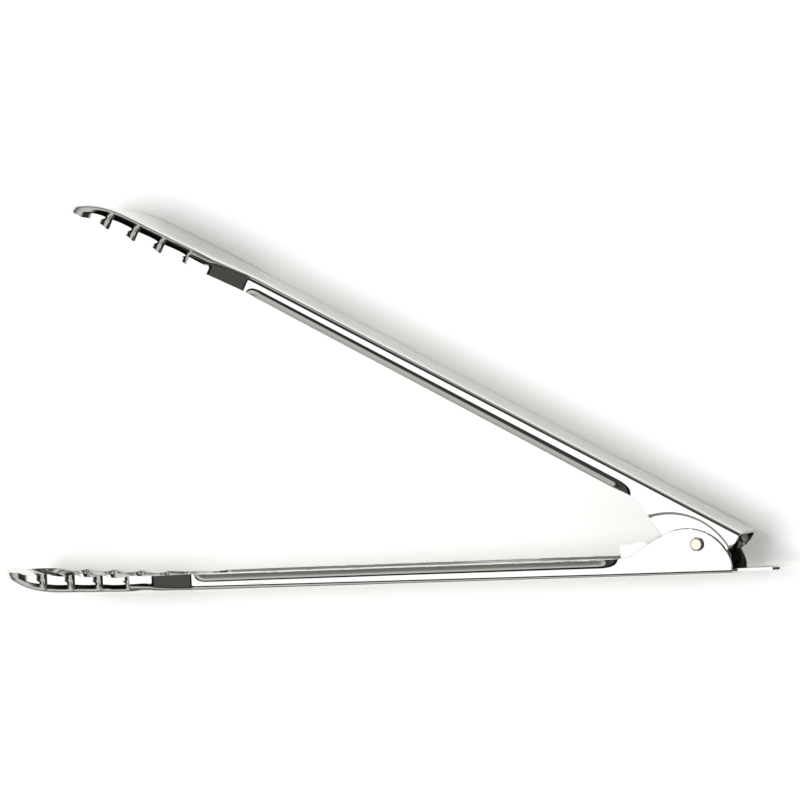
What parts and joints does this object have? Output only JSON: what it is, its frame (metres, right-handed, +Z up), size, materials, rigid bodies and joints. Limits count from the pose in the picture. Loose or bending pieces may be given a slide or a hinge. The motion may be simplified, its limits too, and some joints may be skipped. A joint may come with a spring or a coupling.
{
  "type": "locking kitchen tongs",
  "caption": "Long polished steel serving tongs: two channel arms with scalloped claws, sprung open on a riveted hinge, with a sliding pull-tab lock.",
  "frame": {"origin": "under the middle of the whole object, on the surface that it lies on", "axes": "+X along the outer arm from its claw to the pull tab, +Z up along the pivot axis, the inner arm opens towards +Y"},
  "size_m": [0.3236, 0.1567, 0.036],
  "materials": {
    "arm_steel": "mirror-polished stainless sheet steel",
    "rivet_steel": "polished steel rivet, slightly warm",
    "bush_steel": "plain drawn steel tube",
    "spring_wire": "drawn stainless spring wire",
    "slide_steel": "polished stainless strip"
  },
  "bodies": {
    "outer_arm": {"outer_arm": "arm_steel", "pivot_rivet": "rivet_steel", "spring_bush": "bush_steel", "torsion_spring": "spring_wire"},
    "inner_arm": {"inner_arm": "arm_steel"},
    "lock_slide": {"lock_slide": "slide_steel"}
  },
  "joints": [
    {"name": "arm_hinge", "type": "hinge", "parent": "outer_arm", "child": "inner_arm", "pos_m": [0.13225, -0.068, 0.018], "axis": [0, 0, 1], "range_deg": [0, 29.3], "stiffness_Nm_per_rad": 0.4, "springref_deg": -17.19, "deforming": ["torsion_spring"]},
    {"name": "lock_pull", "type": "slide", "parent": "outer_arm", "child": "lock_slide", "axis": [1, 0, 0], "range_m": [0, 0.008]}
  ]
}
